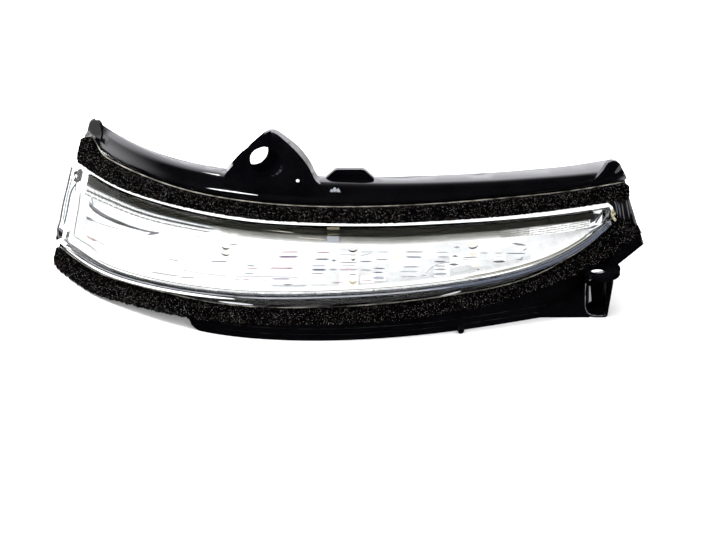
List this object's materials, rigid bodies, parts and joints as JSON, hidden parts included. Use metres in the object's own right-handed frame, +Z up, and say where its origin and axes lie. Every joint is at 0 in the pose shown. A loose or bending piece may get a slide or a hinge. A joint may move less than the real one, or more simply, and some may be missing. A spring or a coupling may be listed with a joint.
{
  "type": "mirror turn signal lamp",
  "caption": "Curved side turn signal lamp for a door mirror: clear lens over a bright reflector, glossy black housing with screw ear and lug, and foam gasket strips.",
  "frame": {"origin": "middle of the lamp's footprint box, on the surface that its bottom skirt stands on", "axes": "+X along the lamp towards its narrow inboard tip, -Y the way the lens looks, +Z up"},
  "size_m": [0.1924, 0.0658, 0.0642],
  "materials": {
    "housing_plastic": "glossy moulded",
    "clear_lens": "clear polished",
    "sealant": "matte",
    "foam": "open cell sponge",
    "tape": "satin film",
    "trim_plastic": "fine grain",
    "reflector_metal": "bright plated plastic",
    "clear_optic": "clear ribbed",
    "board": "solder resist",
    "chip_body": "moulded",
    "capacitor_body": "ceramic",
    "led_body": "moulded",
    "resistor_body": "ceramic",
    "terminal_metal": "tin plated",
    "membrane": "fibrous"
  },
  "bodies": {
    "root": {"housing": "housing_plastic", "outer_lens": "clear_lens", "sealant_upper": "sealant", "sealant_lower": "sealant", "upper_foam_gasket": "foam", "upper_foam_tape": "tape", "lower_foam_gasket": "foam", "lower_foam_tape": "tape", "inner_trim": "trim_plastic", "reflector": "reflector_metal", "inner_optic": "clear_optic", "circuit_board": "board", "driver_chip": "chip_body", "polarity_diode": "chip_body", "filter_capacitor": "capacitor_body", "vent_membrane": "membrane", "led_1": "led_body", "led_2": "led_body", "led_3": "led_body", "led_4": "led_body", "led_5": "led_body", "led_6": "led_body", "resistor_1": "resistor_body", "resistor_2": "resistor_body", "resistor_3": "resistor_body", "resistor_4": "resistor_body", "resistor_5": "resistor_body", "terminal_1": "terminal_metal", "terminal_2": "terminal_metal", "terminal_3": "terminal_metal"}
  },
  "joints": []
}
